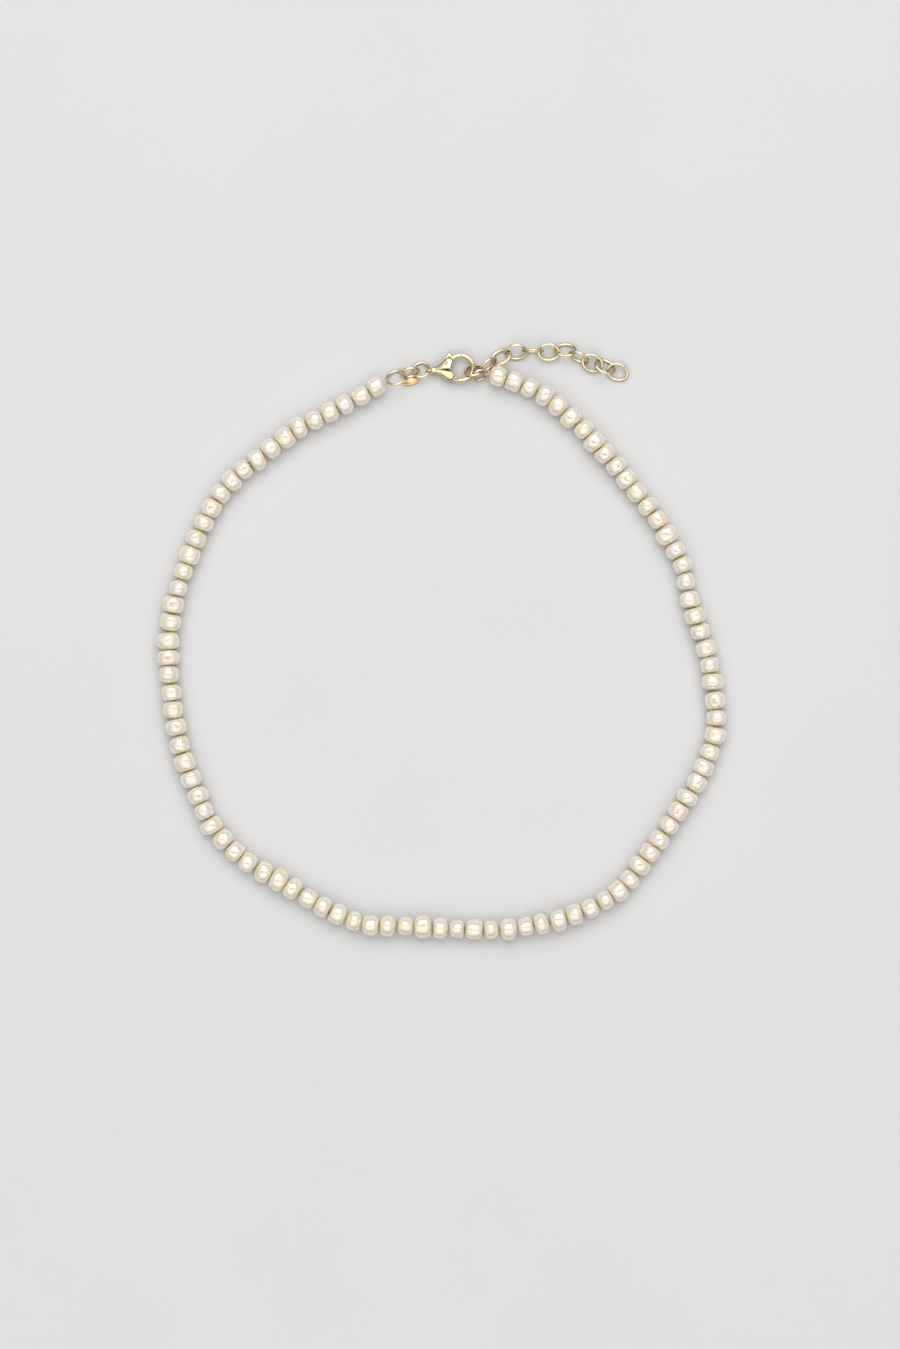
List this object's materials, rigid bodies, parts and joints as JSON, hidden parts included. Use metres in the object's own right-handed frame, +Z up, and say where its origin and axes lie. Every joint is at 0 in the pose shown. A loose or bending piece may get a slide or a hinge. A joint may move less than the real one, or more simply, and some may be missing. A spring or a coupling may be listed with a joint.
{
  "type": "pearl necklace",
  "caption": "Short single-strand necklace of small freshwater pearls, closed by a lobster clasp, with an oval-link extender chain and a tag link.",
  "frame": {"origin": "middle of the necklace's footprint, on the surface that it lies on", "axes": "+Z up from the surface; +Y from the middle of the strand towards the clasp; +X towards the extender chain's side"},
  "size_m": [0.1223, 0.1284, 0.0047],
  "materials": {
    "pearl": "cream nacre with a soft satin lustre",
    "clasp_gold": "polished pale yellow gold",
    "chain_gold": "polished pale yellow gold wire",
    "thread": "twisted cream bead thread",
    "spring_steel": "drawn wire"
  },
  "bodies": {
    "pearls_01": {"pearls_01": "pearl", "right_thread_loop": "thread"},
    "pearls_02": {"pearls_02": "pearl"},
    "pearls_03": {"pearls_03": "pearl"},
    "pearls_04": {"pearls_04": "pearl"},
    "pearls_05": {"pearls_05": "pearl"},
    "pearls_06": {"pearls_06": "pearl"},
    "pearls_07": {"pearls_07": "pearl"},
    "pearls_08": {"pearls_08": "pearl"},
    "pearls_09": {"pearls_09": "pearl"},
    "pearls_10": {"pearls_10": "pearl"},
    "pearls_11": {"pearls_11": "pearl"},
    "pearls_12": {"pearls_12": "pearl"},
    "pearls_13": {"pearls_13": "pearl"},
    "pearls_14": {"pearls_14": "pearl"},
    "pearls_15": {"pearls_15": "pearl"},
    "pearls_16": {"pearls_16": "pearl"},
    "pearls_17": {"pearls_17": "pearl"},
    "pearls_18": {"pearls_18": "pearl"},
    "pearls_19": {"pearls_19": "pearl"},
    "pearls_20": {"pearls_20": "pearl"},
    "pearls_21": {"pearls_21": "pearl"},
    "pearls_22": {"pearls_22": "pearl"},
    "pearls_23": {"pearls_23": "pearl"},
    "pearls_24": {"pearls_24": "pearl"},
    "pearls_25": {"pearls_25": "pearl"},
    "pearls_26": {"pearls_26": "pearl"},
    "pearls_27": {"pearls_27": "pearl"},
    "pearls_28": {"pearls_28": "pearl"},
    "pearls_29": {"pearls_29": "pearl"},
    "pearls_30": {"pearls_30": "pearl"},
    "pearls_31": {"pearls_31": "pearl"},
    "pearls_32": {"pearls_32": "pearl", "left_thread_loop": "thread"},
    "right_end_ring": {"right_end_ring": "chain_gold"},
    "connector_ring": {"connector_ring": "chain_gold"},
    "clasp_ring": {"clasp_ring": "chain_gold"},
    "left_end_ring": {"left_end_ring": "chain_gold"},
    "tag_link": {"tag_link": "chain_gold", "tag_plate": "chain_gold"},
    "clasp_body": {"clasp_body": "clasp_gold", "clasp_pin": "clasp_gold", "clasp_spring": "spring_steel"},
    "clasp_lever": {"clasp_lever": "clasp_gold"},
    "chain_link_01": {"chain_link_01": "chain_gold"},
    "chain_link_02": {"chain_link_02": "chain_gold"},
    "chain_link_03": {"chain_link_03": "chain_gold"},
    "chain_link_04": {"chain_link_04": "chain_gold"},
    "chain_link_05": {"chain_link_05": "chain_gold"},
    "chain_link_06": {"chain_link_06": "chain_gold"},
    "chain_link_07": {"chain_link_07": "chain_gold"},
    "chain_link_08": {"chain_link_08": "chain_gold"},
    "chain_link_09": {"chain_link_09": "chain_gold"},
    "chain_link_10": {"chain_link_10": "chain_gold"}
  },
  "joints": [
    {"name": "clasp_lever_hinge", "type": "hinge", "parent": "clasp_body", "child": "clasp_lever", "pos_m": [0.0009, 0.05985, 0.00145], "axis": [0, 0, -1], "range_deg": [0, 24], "stiffness_Nm_per_rad": 0.004, "springref_deg": -9.74},
    {"name": "right_end_ring_swing", "type": "hinge", "parent": "pearls_01", "child": "right_end_ring", "pos_m": [0.00975, 0.05783, 0.00226], "axis": [0, 0, 1], "range_deg": [0, 10]},
    {"name": "connector_ring_swing", "type": "hinge", "parent": "right_end_ring", "child": "connector_ring", "pos_m": [0.00769, 0.05762, 0.00198], "axis": [0, 0, 1], "range_deg": [0, 3]},
    {"name": "clasp_swing", "type": "hinge", "parent": "connector_ring", "child": "clasp_body", "pos_m": [0.00591, 0.05843, 0.00166], "axis": [0, 0, -1], "range_deg": [0, 25]},
    {"name": "clasp_ring_swing", "type": "hinge", "parent": "clasp_body", "child": "clasp_ring", "pos_m": [-0.00265, 0.0585, 0.00132], "axis": [0, 0, -1], "range_deg": [0, 14]},
    {"name": "tag_link_swing", "type": "hinge", "parent": "clasp_ring", "child": "tag_link", "pos_m": [-0.00554, 0.05821, 0.00146], "axis": [0, 0, -1], "range_deg": [0, 25]},
    {"name": "left_end_ring_swing", "type": "hinge", "parent": "tag_link", "child": "left_end_ring", "pos_m": [-0.00821, 0.05743, 0.00178], "axis": [0, 0, -1], "range_deg": [0, 20]},
    {"name": "chain_link_01_swing", "type": "hinge", "parent": "connector_ring", "child": "chain_link_01", "pos_m": [0.00858, 0.05833, 0.00189], "axis": [0, 0, 1], "range_deg": [0, 14]},
    {"name": "chain_link_02_swing", "type": "hinge", "parent": "chain_link_01", "child": "chain_link_02", "pos_m": [0.01126, 0.06043, 0.00158], "axis": [0, 0, 1], "range_deg": [0, 25]},
    {"name": "chain_link_03_swing", "type": "hinge", "parent": "chain_link_02", "child": "chain_link_03", "pos_m": [0.01427, 0.06225, 0.00125], "axis": [0, 0, 1], "range_deg": [-4, 20]},
    {"name": "chain_link_04_swing", "type": "hinge", "parent": "chain_link_03", "child": "chain_link_04", "pos_m": [0.01782, 0.0625, 0.00178], "axis": [0, 0, 1], "range_deg": [-4, 20]},
    {"name": "chain_link_05_swing", "type": "hinge", "parent": "chain_link_04", "child": "chain_link_05", "pos_m": [0.02133, 0.06234, 0.00174], "axis": [0, 0, 1], "range_deg": [-4, 20]},
    {"name": "chain_link_06_swing", "type": "hinge", "parent": "chain_link_05", "child": "chain_link_06", "pos_m": [0.02485, 0.06249, 0.00126], "axis": [0, 0, 1], "range_deg": [-4, 20]},
    {"name": "chain_link_07_swing", "type": "hinge", "parent": "chain_link_06", "child": "chain_link_07", "pos_m": [0.02821, 0.06238, 0.00173], "axis": [0, 0, 1], "range_deg": [-4, 6]},
    {"name": "chain_link_08_swing", "type": "hinge", "parent": "chain_link_07", "child": "chain_link_08", "pos_m": [0.031, 0.06051, 0.0017], "axis": [0, 0, 1], "range_deg": [-4, 6]},
    {"name": "chain_link_09_swing", "type": "hinge", "parent": "chain_link_08", "child": "chain_link_09", "pos_m": [0.03383, 0.05964, 0.00103], "axis": [0, 0, 1], "range_deg": [-2, 20]},
    {"name": "chain_link_10_swing", "type": "hinge", "parent": "chain_link_09", "child": "chain_link_10", "pos_m": [0.03643, 0.05844, 0.00121], "axis": [0, 0, 1], "range_deg": [-2, 20]},
    {"name": "strand_15_bend", "type": "hinge", "parent": "pearls_16", "child": "pearls_15", "pos_m": [0.01238, -0.06187, 0.00224], "axis": [0, 0, -1], "range_deg": [0, 14]},
    {"name": "strand_14_lift", "type": "hinge", "parent": "pearls_15", "child": "pearls_14", "pos_m": [0.02332, -0.06032, 0.00236], "axis": [-0.2581, 0.9661, 0], "range_deg": [-10, 10]},
    {"name": "strand_13_bend", "type": "hinge", "parent": "pearls_14", "child": "pearls_13", "pos_m": [0.03359, -0.05648, 0.00217], "axis": [0, 0, -1], "range_deg": [0, 14]},
    {"name": "strand_12_lift", "type": "hinge", "parent": "pearls_13", "child": "pearls_12", "pos_m": [0.04161, -0.04972, 0.00221], "axis": [0.8149, -0.5796, 0], "range_deg": [-10, 10]},
    {"name": "strand_11_bend", "type": "hinge", "parent": "pearls_12", "child": "pearls_11", "pos_m": [0.04782, -0.041, 0.00225], "axis": [0, 0, -1], "range_deg": [0, 14]},
    {"name": "strand_10_lift", "type": "hinge", "parent": "pearls_11", "child": "pearls_10", "pos_m": [0.05381, -0.03211, 0.00227], "axis": [-0.8773, 0.48, 0], "range_deg": [-10, 10]},
    {"name": "strand_09_bend", "type": "hinge", "parent": "pearls_10", "child": "pearls_09", "pos_m": [0.05842, -0.02207, 0.0022], "axis": [0, 0, -1], "range_deg": [0, 14]},
    {"name": "strand_08_lift", "type": "hinge", "parent": "pearls_09", "child": "pearls_08", "pos_m": [0.05858, -0.01063, 0.00231], "axis": [0.9892, 0.1464, 0], "range_deg": [-10, 10]},
    {"name": "strand_07_bend", "type": "hinge", "parent": "pearls_08", "child": "pearls_07", "pos_m": [0.05627, 0.00043, 0.0022], "axis": [0, 0, -1], "range_deg": [0, 14]},
    {"name": "strand_06_lift", "type": "hinge", "parent": "pearls_07", "child": "pearls_06", "pos_m": [0.05301, 0.01097, 0.00209], "axis": [-0.9788, -0.2047, 0], "range_deg": [-10, 10]},
    {"name": "strand_05_bend", "type": "hinge", "parent": "pearls_06", "child": "pearls_05", "pos_m": [0.04953, 0.02116, 0.00227], "axis": [0, 0, -1], "range_deg": [0, 14]},
    {"name": "strand_04_lift", "type": "hinge", "parent": "pearls_05", "child": "pearls_04", "pos_m": [0.04328, 0.03047, 0.0022], "axis": [0.7853, 0.6191, 0], "range_deg": [-10, 10]},
    {"name": "strand_03_bend", "type": "hinge", "parent": "pearls_04", "child": "pearls_03", "pos_m": [0.03629, 0.03902, 0.0023], "axis": [0, 0, -1], "range_deg": [0, 14]},
    {"name": "strand_02_lift", "type": "hinge", "parent": "pearls_03", "child": "pearls_02", "pos_m": [0.02929, 0.04688, 0.00223], "axis": [-0.6786, -0.7345, 0], "range_deg": [-10, 10]},
    {"name": "strand_01_bend", "type": "hinge", "parent": "pearls_02", "child": "pearls_01", "pos_m": [0.02058, 0.0539, 0.00224], "axis": [0, 0, -1], "range_deg": [0, 14]},
    {"name": "strand_17_bend", "type": "hinge", "parent": "pearls_16", "child": "pearls_17", "pos_m": [0.00148, -0.06169, 0.00215], "axis": [0, 0, 1], "range_deg": [0, 14]},
    {"name": "strand_18_lift", "type": "hinge", "parent": "pearls_17", "child": "pearls_18", "pos_m": [-0.00971, -0.06112, 0.00218], "axis": [0.0056, 1, 0], "range_deg": [-10, 10]},
    {"name": "strand_19_bend", "type": "hinge", "parent": "pearls_18", "child": "pearls_19", "pos_m": [-0.02063, -0.05958, 0.00224], "axis": [0, 0, 1], "range_deg": [0, 14]},
    {"name": "strand_20_lift", "type": "hinge", "parent": "pearls_19", "child": "pearls_20", "pos_m": [-0.0305, -0.05414, 0.00222], "axis": [-0.543, -0.8398, 0], "range_deg": [-10, 10]},
    {"name": "strand_21_bend", "type": "hinge", "parent": "pearls_20", "child": "pearls_21", "pos_m": [-0.03989, -0.04852, 0.0022], "axis": [0, 0, 1], "range_deg": [0, 14]},
    {"name": "strand_22_lift", "type": "hinge", "parent": "pearls_21", "child": "pearls_22", "pos_m": [-0.0483, -0.04105, 0.00231], "axis": [0.8373, 0.5468, 0], "range_deg": [-10, 10]},
    {"name": "strand_23_bend", "type": "hinge", "parent": "pearls_22", "child": "pearls_23", "pos_m": [-0.05301, -0.03127, 0.00231], "axis": [0, 0, 1], "range_deg": [0, 14]},
    {"name": "strand_24_lift", "type": "hinge", "parent": "pearls_23", "child": "pearls_24", "pos_m": [-0.05678, -0.02029, 0.00226], "axis": [-0.9847, -0.1743, 0], "range_deg": [-10, 10]},
    {"name": "strand_25_bend", "type": "hinge", "parent": "pearls_24", "child": "pearls_25", "pos_m": [-0.05838, -0.00908, 0.0022], "axis": [0, 0, 1], "range_deg": [0, 14]},
    {"name": "strand_26_lift", "type": "hinge", "parent": "pearls_25", "child": "pearls_26", "pos_m": [-0.05862, 0.00218, 0.00233], "axis": [0.9918, -0.128, 0], "range_deg": [-10, 10]},
    {"name": "strand_27_bend", "type": "hinge", "parent": "pearls_26", "child": "pearls_27", "pos_m": [-0.05617, 0.01325, 0.00212], "axis": [0, 0, 1], "range_deg": [0, 14]},
    {"name": "strand_28_lift", "type": "hinge", "parent": "pearls_27", "child": "pearls_28", "pos_m": [-0.05196, 0.02382, 0.00224], "axis": [-0.888, 0.4598, 0], "range_deg": [-10, 10]},
    {"name": "strand_29_bend", "type": "hinge", "parent": "pearls_28", "child": "pearls_29", "pos_m": [-0.04642, 0.03324, 0.00223], "axis": [0, 0, 1], "range_deg": [0, 14]},
    {"name": "strand_30_lift", "type": "hinge", "parent": "pearls_29", "child": "pearls_30", "pos_m": [-0.03828, 0.04028, 0.00227], "axis": [0.6225, -0.7827, 0], "range_deg": [-10, 10]},
    {"name": "strand_31_bend", "type": "hinge", "parent": "pearls_30", "child": "pearls_31", "pos_m": [-0.02906, 0.04681, 0.00216], "axis": [0, 0, 1], "range_deg": [0, 14]},
    {"name": "strand_32_lift", "type": "hinge", "parent": "pearls_31", "child": "pearls_32", "pos_m": [-0.01918, 0.05187, 0.0021], "axis": [-0.4877, 0.873, 0], "range_deg": [-10, 10]}
  ]
}
